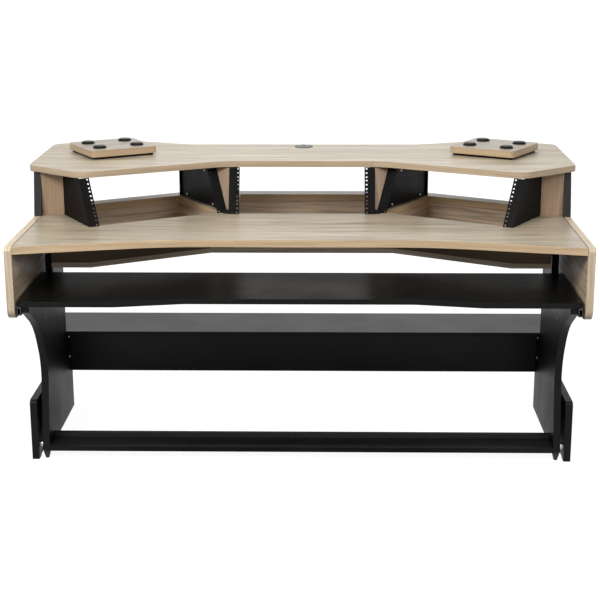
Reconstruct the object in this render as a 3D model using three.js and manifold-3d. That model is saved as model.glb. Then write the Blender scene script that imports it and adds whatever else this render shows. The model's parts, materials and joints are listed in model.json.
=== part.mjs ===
// Studio desk with three rack bays under a raised shelf, a sliding keyboard tray and two speaker pads.
// Millimetres, X to the right, Y to the back, Z up, the floor at Z = 0. The desk is symmetric about X = 0.
// The centre rack's rails stand at Y = 0 while the pieces are drawn; the last lines centre the desk in Y.

import * as THREE from "three";
import { ConvexGeometry } from "three/addons/geometries/ConvexGeometry.js";
import { mergeVertices } from "three/addons/utils/BufferGeometryUtils.js";
import Module from "manifold-3d";

const wasm = await Module();
wasm.setup();

// Driving dimensions

const desk_height = 812; // floor to the top of the desktop
const board = 25; // side panels, uprights, legs, feet, walls, desktop and speaker pads
const thin_board = 18; // keyboard tray, rack floor and stretchers
const shelf_board = 22; // top shelf, fillers and dividers
const panel_board = 16; // back shelf and modesty panel
const seat_gap = 0.3; // between pieces that touch at an angle
const overrun = 20; // how far a cutting tool runs past the face it cuts

// 19-inch rack standard: the hole columns, the unit and the hole spacing inside a unit
const rack_unit = 44.45;
const rack_units = 4;
const rack_columns = 465.1;
const first_hole = 6.35;
const hole_pitches = [15.875, 15.875, 12.7];
const rack_hole_radius = 3.5;
const hole_to_edge = 7.55;

// Bent steel rack plates
const sheet = 2;
const flange_width = 38;
const plate_depth = 395;
const rear_lip = 10;
const ear_relief = 1; // the flange stops this far below the rail's top, clear of the shelf
const tab_width = 18;
const tab_margin = 30;
const rail_lean = THREE.MathUtils.degToRad(29);

// Where the side bays stand, measured from the outer face of the centre bay's plate
const bay_yaw = THREE.MathUtils.degToRad(30);
const bay_toe_x = 6.5;
const bay_toe_y = 32.4;

// Desktop
const rack_web = 20; // desktop left bare inside each rack plate
const cut_front = 12;
const cut_rear_margin = 15; // the openings end short of the rack plates
const centre_rear_strip = 70;
const bay_rear_strip = 60;
const front_centre = 425; // how far the front edge lies ahead of the rails at the middle
const front_wing = 540; // and at the side panels
const wing_start = 445;
const wing_blend = 1050;
const plate_to_side = 4.5; // rear corner of the outer rack plate to the side panel

// Side panels, uprights and fillers
const side_panel_drop = 245;
const side_bottom_round = 38;
const side_top_round = 18;
const upright_foot_front = 46;
const upright_top_front = 14;
const filler_front = 18;

// Top shelf
const shelf_front = 84; // its middle front edge, behind the rails' feet
const shelf_front_half = 285;
const shelf_front_blend = 175;
const shelf_lead = 6; // how far the outer bay corner lies behind the shelf's edge
const shelf_side_overhang = 18;
const shelf_side_front = -3;
const shelf_side_rear = 486;
const shelf_peak_x = 711;
const shelf_peak_y = 583;
const shelf_waist_x = 440;
const shelf_rear = 476;
const shelf_corner_round = 35;
const shelf_knee_round = 60;
const shelf_rear_round = 50;
const shelf_waist_round = 150;

// Cable grommet
const grommet_y = 422;
const grommet_hole_radius = 30;
const grommet_fit = 0.3;
const grommet_flange = 5;
const grommet_wall = 3.2;
const grommet_ledge = 3;
const grommet_rise = 2.5;
const grommet_chamfer = 1;
const cap_thickness = 3;
const cap_notch_width = 15;
const cap_notch_depth = 15;

// Speaker pads
const pad_x = 711;
const pad_y = 264;
const pad_width = 254;
const pad_depth = 244;
const pad_round = 12;
const pad_base_height = 8;
const pad_base_inset = 8;
const disc_radius = 25;
const disc_height = 9;
const disc_spacing_u = 146;
const disc_spacing_d = 120;

// Lower rack box
const rack_box_height = 101; // floor board to the desktop's underside
const floor_front = 5;
const box_wing_front = 225;
const box_to_leg = 18;
const wall_setback = 10; // rear walls behind the desktop's openings

// Legs
const leg_inset = 22; // leg to the side panel's inner face, where the slide fits
const arm_front = 535;
const arm_nose = 20;
const arm_nose_round = 8;
const throat_y = 374;
const throat_drop = 112;
const throat_round = 300;
const waist_y = 278;
const waist_share = 0.544;
const waist_round = 205;
const leg_front = 328;
const leg_foot_round = 8;
const leg_rear = 166;
const ledge_height = 334;
const post_rear = 75;
const post_front = 122;

// Feet
const foot_gap = 12;
const foot_height = 218;
const foot_rear = 320;
const foot_round = 15;
const foot_relief = 5;
const toe_length = 38;
const spacer_radius = 12;
const spacer_height = 47;
const spacer_inset = 31;
const glide_height = 29;
const glide_top_radius = 12.5;
const glide_foot_radius = 6.5;
const glide_inset = 20;
const stem_radius = 4;
const stem_length = 20;
const stem_fit = 0.4;

// Modesty panel, back shelf and stretchers
const modesty_height = 160;
const back_shelf_depth = 265;
const back_shelf_end = 45; // past the legs' outer faces
const stretcher_lift = 2; // above the underside of the legs
const stretcher_depth = 95;
const stretcher_rail_height = 35;

// Keyboard tray and its slides
const keyboard_space = 155; // tray top to the desktop's underside
const tray_to_arm = 2;
const tray_rear_gap = 21;
const tray_wing_front = 548;
const tray_centre_front = 505;
const tray_wing_x = 600;
const tray_centre_x = 380;
const tray_round = 30;
const tray_blend = 130;
const slide_width = 12.7;
const slide_height = 28;
const slide_length = 400;
const slide_sheet = 1.2;
const slide_gap = 0.5;

// Sizes worked out from these

const desk_under = desk_height - board;
const rail_length = rack_unit * rack_units;
const rail_rise = rail_length * Math.cos(rail_lean);
const rail_back = rail_length * Math.sin(rail_lean);
const rail_top = desk_height + rail_rise;
const shelf_under = rail_top + seat_gap;
const shelf_top = shelf_under + shelf_board;
const opening_half = rack_columns / 2 - hole_to_edge;
const plate_half = opening_half + flange_width;
const cut_half = plate_half - rack_web;
const cut_rear = plate_depth - cut_rear_margin;

// A bay's plan: u runs along its front towards the desk's outside, d runs from its front to its back.
const centre_bay = { x: 0, y: 0, yaw: 0 };
const side_bay = {
  x: plate_half + bay_toe_x + plate_half * Math.cos(bay_yaw),
  y: bay_toe_y - plate_half * Math.sin(bay_yaw),
  yaw: bay_yaw,
};

function bayPoint(bay, u, d) {
  const along = Math.cos(bay.yaw);
  const across = Math.sin(bay.yaw);
  return [bay.x + u * along + d * across, bay.y - u * across + d * along];
}

// The X at which a bay's line of constant d, or of constant u, crosses a given Y.
function xWhereDepth(bay, d, y) {
  return bay.x + (d - (y - bay.y) * Math.cos(bay.yaw)) / Math.sin(bay.yaw);
}
function xWhereWidth(bay, u, y) {
  return bay.x + (u + (y - bay.y) * Math.sin(bay.yaw)) / Math.cos(bay.yaw);
}
// The Y at which a bay's line of constant d crosses a given X.
function yWhereDepth(bay, d, x) {
  return bay.y + (d - (x - bay.x) * Math.sin(bay.yaw)) / Math.cos(bay.yaw);
}

const side_inner = bayPoint(side_bay, plate_half, plate_depth)[0] + plate_to_side;
const side_outer = side_inner + board;
const centre_rear = cut_rear + centre_rear_strip;
const bay_rear = cut_rear + bay_rear_strip;
const side_rear = yWhereDepth(side_bay, bay_rear, side_inner);
const leg_outer = side_inner - leg_inset;
const leg_inner = leg_outer - board;
const box_half = leg_inner - box_to_leg;
const box_top = desk_under;
const box_floor_top = desk_under - rack_box_height;
const foot_inner = leg_outer + foot_gap;
const tray_top = desk_under - keyboard_space;
const tray_bottom = tray_top - thin_board;
const tray_half = leg_outer + slide_width;
const tray_rear = -post_front - tray_rear_gap;
const arm_top = tray_bottom - tray_to_arm;

// Materials

function finish(color, roughness, metalness = 0) {
  return new THREE.MeshStandardMaterial({ color, roughness, metalness });
}
const looks = {
  wood: () => finish(0xc2b096, 0.55),
  black_board: () => finish(0x201e1d, 0.45),
  powder_coat: () => finish(0x17181b, 0.5, 0.3),
  zinc: () => finish(0xb9bbbd, 0.35, 0.9),
  slide_steel: () => finish(0x9a9c9e, 0.4, 0.9),
  black_plastic: () => finish(0x1b1b1c, 0.5),
  rubber: () => finish(0x141414, 0.85),
};

function piece(name, geometry, look) {
  const mesh = new THREE.Mesh(geometry, looks[look]());
  mesh.name = name;
  return mesh;
}

// Outlines

const arc_step = THREE.MathUtils.degToRad(9);
const arc_sag = 0.15; // how far a chord of a large arc may lie off it

// Rounds the corners of an outline. Each corner is [x, y] or [x, y, radius].
function rounded(corners) {
  const points = [];
  corners.forEach(([x, y, radius = 0], i) => {
    const corner = new THREE.Vector2(x, y);
    if (!radius) {
      points.push(corner);
      return;
    }
    const before = corners[(i + corners.length - 1) % corners.length];
    const after = corners[(i + 1) % corners.length];
    const back = new THREE.Vector2(before[0] - x, before[1] - y).normalize();
    const ahead = new THREE.Vector2(after[0] - x, after[1] - y).normalize();
    const half = Math.acos(THREE.MathUtils.clamp(back.dot(ahead), -1, 1)) / 2;
    const middle = back.clone().add(ahead).normalize();
    const centre = corner.clone().addScaledVector(middle, radius / Math.sin(half));
    const start = corner.clone().addScaledVector(back, radius / Math.tan(half)).sub(centre);
    const end = corner.clone().addScaledVector(ahead, radius / Math.tan(half)).sub(centre);
    const turn = Math.atan2(start.cross(end), start.dot(end));
    const step = Math.min(arc_step, 2 * Math.acos(1 - arc_sag / radius));
    const steps = Math.max(2, Math.ceil(Math.abs(turn) / step));
    for (let k = 0; k <= steps; k++) {
      points.push(start.clone().rotateAround(new THREE.Vector2(), (turn * k) / steps).add(centre));
    }
  });
  return points;
}

// Completes the right half of an outline, listed from front to back, with its mirror image.
function bothHalves(corners) {
  const left = corners.map(([x, ...rest]) => [-x, ...rest]).reverse();
  return [...corners, ...left];
}

function circle(x, y, radius, steps) {
  const curve = new THREE.EllipseCurve(x, y, radius, radius);
  return curve.getPoints(steps).slice(0, steps);
}

function rectangle(x0, x1, y0, y1, radius = 0) {
  return [
    [x0, y0, radius],
    [x1, y0, radius],
    [x1, y1, radius],
    [x0, y1, radius],
  ];
}

// Solids

// How an outline stands: flat with its thickness up, on edge facing sideways, or on edge facing the front.
const flat = (bottom, top) => (x, y, far) => [x, y, far ? top : bottom];
const sideways = (inner, outer) => (x, y, far) => [far ? outer : inner, x, y];
const facing = (front, back) => (x, y, far) => [x, far ? front : back, y];

function prism(corners, place, holes = []) {
  const shape = new THREE.Shape(rounded(corners));
  shape.holes = holes.map((hole) => new THREE.Path(hole[0].isVector2 ? hole : rounded(hole)));
  return standUp(new THREE.ExtrudeGeometry(shape, { depth: 1, bevelEnabled: false }), place);
}

function roundPrism(x, y, radius, place, steps = 24) {
  const shape = new THREE.Shape(circle(x, y, radius, steps));
  return standUp(new THREE.ExtrudeGeometry(shape, { depth: 1, bevelEnabled: false }), place);
}

function standUp(geometry, place) {
  const position = geometry.attributes.position;
  for (let i = 0; i < position.count; i++) {
    const far = position.getZ(i) > 1 / 2;
    position.setXYZ(i, ...place(position.getX(i), position.getY(i), far));
  }
  return geometry;
}

// A revolved solid on an upright axis; the profile is a list of [radius, height].
function turned(profile, x, y, steps = 32) {
  const points = profile.map(([radius, height]) => new THREE.Vector2(radius, height));
  const geometry = new THREE.LatheGeometry(points, steps);
  const position = geometry.attributes.position;
  for (let i = 0; i < position.count; i++) {
    position.setXYZ(i, x + position.getX(i), y - position.getZ(i), position.getY(i));
  }
  return geometry;
}

function solid(geometry) {
  const bare = geometry.clone();
  bare.deleteAttribute("normal");
  bare.deleteAttribute("uv");
  const merged = mergeVertices(bare, 1e-4);
  return new wasm.Manifold(
    new wasm.Mesh({
      numProp: 3,
      vertProperties: new Float32Array(merged.attributes.position.array),
      triVerts: new Uint32Array(merged.index.array),
    }),
  );
}

function meshed(manifold) {
  const { vertProperties, triVerts, numProp } = manifold.getMesh();
  const geometry = new THREE.BufferGeometry();
  const buffer = new THREE.InterleavedBuffer(vertProperties, numProp);
  geometry.setAttribute("position", new THREE.InterleavedBufferAttribute(buffer, 3, 0));
  geometry.setIndex(new THREE.BufferAttribute(triVerts, 1));
  const faceted = geometry.toNonIndexed();
  faceted.computeVertexNormals();
  return faceted;
}

const join = (...parts) => meshed(parts.map(solid).reduce((whole, next) => whole.add(next)));
const cut = (body, ...tools) => meshed(tools.map(solid).reduce((rest, tool) => rest.subtract(tool), solid(body)));

// Rack plates: a leaning front flange with its rack holes and a side plate with a rear lip, bent from one sheet.
// They are drawn in a bay's own plan, on its outer side.

function rackHoleHeights() {
  const heights = [];
  let height = first_hole;
  for (let i = 0; i < rack_units * hole_pitches.length; i++) {
    heights.push(height);
    height += hole_pitches[i % hole_pitches.length];
  }
  return heights;
}

function rackHole(height) {
  const reach = 2 * overrun;
  const hole = new THREE.CylinderGeometry(rack_hole_radius, rack_hole_radius, reach, 12);
  hole.rotateX(-rail_lean);
  const back = height * Math.sin(rail_lean);
  const up = height * Math.cos(rail_lean);
  return hole.translate(rack_columns / 2, back, desk_height + up);
}

function rackPlate(tabbed) {
  const skin = sheet / Math.cos(rail_lean);
  const ear_top = rail_top - ear_relief;
  const ear_back = rail_back - ear_relief * Math.tan(rail_lean);
  const side = prism(
    [
      [0, desk_height],
      [plate_depth, desk_height],
      [plate_depth, rail_top],
      [rail_back + skin, rail_top],
      [ear_back, ear_top],
    ],
    sideways(plate_half - sheet, plate_half),
  );
  const flange = prism(
    [
      [0, desk_height],
      [skin, desk_height],
      [ear_back + skin, ear_top],
      [ear_back, ear_top],
    ],
    sideways(opening_half, plate_half),
  );
  const lip = prism(
    rectangle(plate_half - rear_lip, plate_half, plate_depth - sheet, plate_depth),
    flat(desk_height, rail_top),
  );
  const tab = (bottom, front) =>
    prism(
      rectangle(plate_half - tab_width, plate_half, front, plate_depth - tab_margin),
      flat(bottom, bottom + sheet),
    );
  const tabs = tabbed ? [tab(desk_height, tab_margin), tab(rail_top - sheet, rail_back + tab_margin)] : [];
  return cut(join(side, flange, lip, ...tabs), ...rackHoleHeights().map(rackHole));
}

function rackPlates(bay, names) {
  const group = new THREE.Group();
  group.position.set(bay.x, bay.y, 0);
  group.rotation.z = -bay.yaw;
  names.forEach(([name, hand, tabbed]) => {
    const plate = piece(name, rackPlate(tabbed), "powder_coat");
    plate.scale.x = hand;
    group.add(plate);
  });
  return group;
}

// The wooden divider between the centre bay and a side bay: two boards glued to a V that fills the corner
// between the two leaning rails, flush with the side bay's rail and meeting the centre rail's top.

function divider() {
  const centre_face = plate_half + seat_gap;
  const bay_face = -plate_half - seat_gap;
  const toe = bayPoint(side_bay, bay_face, seat_gap);
  const crown = bayPoint(side_bay, bay_face, rail_back + seat_gap);
  const tail = bayPoint(side_bay, bay_face, plate_depth);
  // The front plane holds the toe, the crown and the centre rail's top corner. This is its foot on the centre side.
  const corner = new THREE.Vector3(centre_face, rail_back + seat_gap, rail_top);
  const toe_3d = new THREE.Vector3(...toe, desk_height);
  const crown_3d = new THREE.Vector3(...crown, rail_top);
  const plane = new THREE.Plane().setFromCoplanarPoints(toe_3d, crown_3d, corner);
  const upward = new THREE.Ray(new THREE.Vector3(centre_face, plate_depth, desk_height), new THREE.Vector3(0, -1, 0));
  const foot = upward.intersectPlane(plane, new THREE.Vector3());
  const slope = (shelf_under - desk_height) / rail_rise;
  const raised = (low, high) => low.clone().lerp(high, slope);
  const body = new ConvexGeometry([
    toe_3d,
    foot,
    raised(toe_3d, crown_3d),
    raised(foot, corner),
    new THREE.Vector3(centre_face, plate_depth, desk_height),
    new THREE.Vector3(centre_face, plate_depth, shelf_under),
    new THREE.Vector3(...tail, desk_height),
    new THREE.Vector3(...tail, shelf_under),
  ]);
  const inside_x = centre_face + shelf_board;
  const inside_u = bay_face - shelf_board;
  const apex_y = side_bay.y + ((inside_x - side_bay.x) * Math.cos(bay_yaw) - inside_u) / Math.sin(bay_yaw);
  const far_y = plate_depth + overrun;
  const notch = prism(
    [
      [inside_x, apex_y],
      [xWhereWidth(side_bay, inside_u, far_y), far_y],
      [inside_x, far_y],
    ],
    flat(desk_height - overrun, shelf_under + overrun),
  );
  return cut(body, notch);
}

// Boards of the upper part

function bayCut(bay, mirror) {
  const corners = [
    bayPoint(bay, -cut_half, cut_front),
    bayPoint(bay, cut_half, cut_front),
    bayPoint(bay, cut_half, cut_rear),
    bayPoint(bay, -cut_half, cut_rear),
  ];
  return corners.map(([x, y]) => [mirror * x, y]);
}

function desktop() {
  const outline = bothHalves([
    [wing_start, -front_centre, wing_blend],
    [side_inner, -front_wing],
    [side_inner, side_rear],
    [xWhereDepth(side_bay, bay_rear, centre_rear), centre_rear],
  ]);
  const cuts = [bayCut(centre_bay, 1), bayCut(side_bay, 1), bayCut(side_bay, -1)];
  return prism(outline, flat(desk_under, desk_height), cuts);
}

function topShelf() {
  const [knee_x, knee_y] = bayPoint(side_bay, plate_half, rail_back - shelf_lead);
  const shelf_half = side_outer + shelf_side_overhang;
  const outline = bothHalves([
    [shelf_front_half, shelf_front, shelf_front_blend],
    [knee_x, knee_y, shelf_knee_round],
    [shelf_half, shelf_side_front, shelf_corner_round],
    [shelf_half, shelf_side_rear, shelf_rear_round],
    [shelf_peak_x, shelf_peak_y, shelf_rear_round],
    [shelf_waist_x, shelf_rear, shelf_waist_round],
  ]);
  const cable_hole = circle(0, grommet_y, grommet_hole_radius, 32);
  return prism(outline, flat(shelf_under, shelf_top), [cable_hole]);
}

function sidePanel() {
  const bottom = desk_height - side_panel_drop;
  const outline = [
    [-front_wing, bottom, side_bottom_round],
    [side_rear, bottom],
    [side_rear, desk_height],
    [-front_wing, desk_height, side_top_round],
  ];
  return prism(outline, sideways(side_inner, side_outer));
}

function upright() {
  const outline = [
    [-upright_foot_front, desk_height],
    [side_rear, desk_height],
    [side_rear, shelf_under],
    [-upright_top_front, shelf_under],
  ];
  return prism(outline, sideways(side_inner, side_outer));
}

function filler() {
  const front = -filler_front;
  const back = front + shelf_board;
  const beside = (y) => xWhereWidth(side_bay, plate_half + seat_gap, y);
  const outline = [
    [beside(front), front],
    [side_inner, front],
    [side_inner, back],
    [beside(back), back],
  ];
  return prism(outline, flat(desk_height, shelf_under));
}

// Lower rack box

function rackFloor() {
  const outline = bothHalves([
    [xWhereDepth(side_bay, floor_front, floor_front), floor_front],
    [xWhereDepth(side_bay, floor_front, -box_wing_front), -box_wing_front],
    [box_half, -box_wing_front],
    [box_half, yWhereDepth(side_bay, bay_rear, box_half)],
    [xWhereDepth(side_bay, bay_rear, centre_rear), centre_rear],
  ]);
  return prism(outline, flat(box_floor_top - thin_board, box_floor_top));
}

const wall_front = cut_rear + wall_setback;
const wall_back = wall_front + board;

function bayWall(u0, u1, rear) {
  const outline = [
    bayPoint(side_bay, u0, cut_front),
    bayPoint(side_bay, u1, cut_front),
    bayPoint(side_bay, u1, rear),
    bayPoint(side_bay, u0, rear),
  ];
  return prism(outline, flat(box_floor_top, box_top));
}

function innerWall() {
  return bayWall(-cut_half - board, -cut_half, wall_front - seat_gap);
}

function outerWall() {
  const face = cut_half + board;
  const rear = (box_half - side_bay.x - face * Math.cos(bay_yaw)) / Math.sin(bay_yaw);
  return bayWall(cut_half, face, rear);
}

function centreRearWall() {
  const outline = bothHalves([
    [xWhereDepth(side_bay, wall_front, wall_front), wall_front],
    [xWhereDepth(side_bay, wall_back, wall_back), wall_back],
  ]);
  return prism(outline, flat(box_floor_top, box_top));
}

function bayRearWall() {
  const mitre = (d) => [xWhereDepth(side_bay, d, d) + seat_gap, d];
  const front = mitre(wall_front);
  const back = mitre(wall_back);
  const outline = [
    [front[0], yWhereDepth(side_bay, wall_front, front[0])],
    [box_half, yWhereDepth(side_bay, wall_front, box_half)],
    [box_half, yWhereDepth(side_bay, wall_back, box_half)],
    [back[0], yWhereDepth(side_bay, wall_back, back[0])],
  ];
  return prism(outline, flat(box_floor_top, box_top));
}

// Under frame

function leg() {
  const outline = [
    [-leg_front, glide_height, leg_foot_round],
    [leg_rear, glide_height],
    [leg_rear, ledge_height],
    [post_rear, ledge_height],
    [post_rear, desk_under],
    [-post_front, desk_under],
    [-post_front, arm_top],
    [-arm_front, arm_top],
    [-arm_front, arm_top - arm_nose, arm_nose_round],
    [-throat_y, arm_top - throat_drop, throat_round],
    [-waist_y, arm_top * waist_share, waist_round],
  ];
  const bore = turned(
    [
      [0, glide_height - overrun],
      [stem_radius + stem_fit, glide_height - overrun],
      [stem_radius + stem_fit, glide_height + stem_length + stem_radius],
      [0, glide_height + stem_length + stem_radius],
    ],
    leg_inner + board / 2,
    glide_inset - leg_front,
    16,
  );
  return cut(prism(outline, sideways(leg_inner, leg_outer)), bore);
}

function glide() {
  const top = glide_height - seat_gap;
  const profile = [
    [0, 0],
    [glide_foot_radius, 0],
    [glide_top_radius, top - glide_foot_radius],
    [glide_top_radius, top],
    [stem_radius, top],
    [stem_radius, top + stem_length],
    [0, top + stem_length],
  ];
  return turned(profile, leg_inner + board / 2, glide_inset - leg_front, 20);
}

function outerFoot() {
  const outline = [
    [-leg_front, 0],
    [-leg_front + toe_length, 0],
    [-leg_front + toe_length, foot_relief],
    [foot_rear - toe_length, foot_relief],
    [foot_rear - toe_length, 0],
    [foot_rear, 0],
    [foot_rear, foot_height, foot_round],
    [-leg_front, foot_height, foot_round],
  ];
  return prism(outline, sideways(foot_inner, foot_inner + board));
}

function footSpacer(y) {
  return roundPrism(y, spacer_height, spacer_radius, sideways(leg_outer, foot_inner));
}

function modestyPanel() {
  const outline = rectangle(-leg_inner, leg_inner, ledge_height - modesty_height, ledge_height);
  return prism(outline, facing(leg_rear - panel_board, leg_rear));
}

function backShelf() {
  const half = leg_outer + back_shelf_end;
  const outline = rectangle(-half, half, post_rear, post_rear + back_shelf_depth);
  return prism(outline, flat(ledge_height, ledge_height + panel_board));
}

const stretcher_bottom = glide_height + stretcher_lift;
const stretcher_rear = stretcher_depth - leg_front;

function stretcherBoard() {
  const outline = rectangle(-leg_inner, leg_inner, -leg_front, stretcher_rear);
  return prism(outline, flat(stretcher_bottom, stretcher_bottom + thin_board));
}

function stretcherRail() {
  const outline = rectangle(-leg_inner, leg_inner, stretcher_bottom, stretcher_bottom + stretcher_rail_height);
  return prism(outline, facing(stretcher_rear, stretcher_rear + thin_board));
}

// Keyboard tray on telescopic slides. Each slide is three nested channels: the outer one is screwed to the leg's
// arm, and the inner one has a flange that carries the tray.

function tray() {
  const outline = bothHalves([
    [tray_centre_x, -tray_centre_front, tray_blend],
    [tray_wing_x, -tray_wing_front, tray_blend],
    [tray_half, -tray_wing_front, tray_round],
    [tray_half, tray_rear],
  ]);
  return prism(outline, flat(tray_bottom, tray_top));
}

const slide_nest = slide_sheet + slide_gap;
const slide_top = tray_bottom - slide_nest;
const slide_middle = slide_top - slide_height / 2;
const slide_free = tray_half - slide_nest;

function slideBar(corners) {
  return prism(corners, facing(tray_rear - slide_length, tray_rear));
}

function channel(web, free, half_height) {
  const inward = Math.sign(free - web) * slide_sheet;
  const inner_half = half_height - slide_sheet;
  const corners = [
    [web, slide_middle - half_height],
    [free, slide_middle - half_height],
    [free, slide_middle - inner_half],
    [web + inward, slide_middle - inner_half],
    [web + inward, slide_middle + inner_half],
    [free, slide_middle + inner_half],
    [free, slide_middle + half_height],
    [web, slide_middle + half_height],
  ];
  return slideBar(inward > 0 ? corners : corners.reverse());
}

function slideOuter() {
  return channel(leg_outer, slide_free, slide_height / 2);
}

function slideMiddle() {
  return channel(leg_outer + slide_nest, slide_free, slide_height / 2 - slide_nest);
}

function slideInner() {
  const web = slideBar(rectangle(tray_half - slide_sheet, tray_half, slide_middle, tray_bottom));
  const flange = slideBar(rectangle(leg_outer + slide_sheet, tray_half, tray_bottom - slide_sheet, tray_bottom));
  return join(channel(tray_half, leg_outer + 2 * slide_nest, slide_height / 2 - 2 * slide_nest), web, flange);
}

// Cable grommet in the top shelf, with a turning cap

function grommetRing() {
  const outer = grommet_hole_radius - grommet_fit;
  const inner = outer - grommet_wall;
  const rim = grommet_hole_radius + grommet_flange;
  const ledge = shelf_top + grommet_rise - cap_thickness - seat_gap;
  const profile = [
    [inner - grommet_ledge, shelf_under],
    [outer, shelf_under],
    [outer, shelf_top],
    [rim, shelf_top],
    [rim, shelf_top + grommet_rise - grommet_chamfer],
    [rim - grommet_chamfer, shelf_top + grommet_rise],
    [inner, shelf_top + grommet_rise],
    [inner, ledge],
    [inner - grommet_ledge, ledge],
    [inner - grommet_ledge, shelf_under],
  ];
  return turned(profile, 0, grommet_y);
}

function grommetCap() {
  const radius = grommet_hole_radius - 2 * grommet_fit - grommet_wall;
  const top = shelf_top + grommet_rise;
  const disc = roundPrism(0, grommet_y, radius, flat(top - cap_thickness, top), 32);
  const edge = grommet_y + radius;
  const notch = prism(
    [
      [-cap_notch_width / 2, edge - cap_notch_depth, cap_notch_width / 3],
      [cap_notch_width / 2, edge - cap_notch_depth, cap_notch_width / 3],
      [cap_notch_width / 2, edge + overrun],
      [-cap_notch_width / 2, edge + overrun],
    ],
    flat(top - cap_thickness - overrun, top + overrun),
  );
  return cut(disc, notch);
}

// Speaker pads: a board on an inset rubber base, with four rubber discs, standing loose on the shelf

function speakerPad(side) {
  const pad = new THREE.Group();
  pad.position.set(pad_x, pad_y, 0);
  pad.rotation.z = -bay_yaw;
  const half_width = pad_width / 2;
  const half_depth = pad_depth / 2;
  const base_bottom = shelf_top + seat_gap;
  const base_top = base_bottom + pad_base_height;
  const top = base_top + board;
  const base_half_width = half_width - pad_base_inset;
  const base_half_depth = half_depth - pad_base_inset;
  const base = prism(
    rectangle(-base_half_width, base_half_width, -base_half_depth, base_half_depth, pad_round),
    flat(base_bottom, base_top),
  );
  const plate = prism(
    rectangle(-half_width, half_width, -half_depth, half_depth, pad_round),
    flat(base_top, top),
  );
  pad.add(piece("pad_base_" + side, base, "rubber"));
  pad.add(piece("pad_board_" + side, plate, "wood"));
  const corners = { front_outer: [1, -1], front_inner: [-1, -1], rear_outer: [1, 1], rear_inner: [-1, 1] };
  for (const [corner, [u, d]] of Object.entries(corners)) {
    const disc = roundPrism(
      (u * disc_spacing_u) / 2,
      (d * disc_spacing_d) / 2,
      disc_radius,
      flat(top, top + disc_height),
    );
    pad.add(piece("pad_disc_" + side + "_" + corner, disc, "rubber"));
  }
  return pad;
}

// One half of the desk, drawn on the right; the left half is its mirror image

function half(side, hand) {
  const group = new THREE.Group();
  group.scale.x = hand;
  group.add(piece("side_panel_" + side, sidePanel(), "wood"));
  group.add(piece("upright_" + side, upright(), "black_board"));
  group.add(piece("filler_" + side, filler(), "wood"));
  group.add(piece("divider_" + side, divider(), "wood"));
  group.add(rackPlates(centre_bay, [["rack_plate_centre_" + side, 1, false]]));
  group.add(
    rackPlates(side_bay, [
      ["rack_plate_" + side + "_inner", -1, false],
      ["rack_plate_" + side + "_outer", 1, true],
    ]),
  );
  group.add(piece("wall_" + side + "_inner", innerWall(), "wood"));
  group.add(piece("wall_" + side + "_outer", outerWall(), "wood"));
  group.add(piece("wall_" + side + "_rear", bayRearWall(), "wood"));
  group.add(piece("leg_" + side, leg(), "black_board"));
  group.add(piece("glide_" + side, glide(), "black_plastic"));
  group.add(piece("outer_foot_" + side, outerFoot(), "black_board"));
  group.add(piece("foot_spacer_" + side + "_front", footSpacer(spacer_inset - leg_front), "zinc"));
  group.add(piece("foot_spacer_" + side + "_rear", footSpacer(leg_rear - spacer_inset), "zinc"));
  group.add(piece("slide_outer_" + side, slideOuter(), "slide_steel"));
  group.add(piece("slide_middle_" + side, slideMiddle(), "slide_steel"));
  group.add(piece("slide_inner_" + side, slideInner(), "slide_steel"));
  group.add(speakerPad(side));
  return group;
}

const desk = new THREE.Group();
desk.add(half("right", 1), half("left", -1));
desk.add(piece("desktop", desktop(), "wood"));
desk.add(piece("top_shelf", topShelf(), "wood"));
desk.add(piece("rack_floor", rackFloor(), "wood"));
desk.add(piece("wall_centre_rear", centreRearWall(), "wood"));
desk.add(piece("back_shelf", backShelf(), "black_board"));
desk.add(piece("modesty_panel", modestyPanel(), "black_board"));
desk.add(piece("stretcher_board", stretcherBoard(), "black_board"));
desk.add(piece("stretcher_rail", stretcherRail(), "black_board"));
desk.add(piece("keyboard_tray", tray(), "black_board"));
desk.add(piece("grommet_ring", grommetRing(), "black_plastic"));
desk.add(piece("grommet_cap", grommetCap(), "black_plastic"));

// The frame's origin is the bottom centre of the whole desk.
const extent = new THREE.Box3().setFromObject(desk, true);
desk.position.y = -(extent.min.y + extent.max.y) / 2;

export default desk;
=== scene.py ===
"""Looks of the studio desk: wood-print boards with edge bands, black satin boards, powder-coated rack plates,
telescopic slides, glides, a cable grommet and speaker pads, in front of the photograph's camera."""

import json
import math

import bmesh
import bpy
from mathutils import Matrix, Vector


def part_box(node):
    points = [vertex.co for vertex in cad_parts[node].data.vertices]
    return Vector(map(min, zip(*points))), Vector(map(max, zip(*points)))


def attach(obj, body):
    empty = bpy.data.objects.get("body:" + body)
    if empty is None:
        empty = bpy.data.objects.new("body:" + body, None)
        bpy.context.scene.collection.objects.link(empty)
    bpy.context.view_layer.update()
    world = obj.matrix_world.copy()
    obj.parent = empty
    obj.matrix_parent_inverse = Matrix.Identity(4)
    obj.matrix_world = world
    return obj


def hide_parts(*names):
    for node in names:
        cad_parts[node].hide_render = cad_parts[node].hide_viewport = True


MM = 0.001

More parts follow.
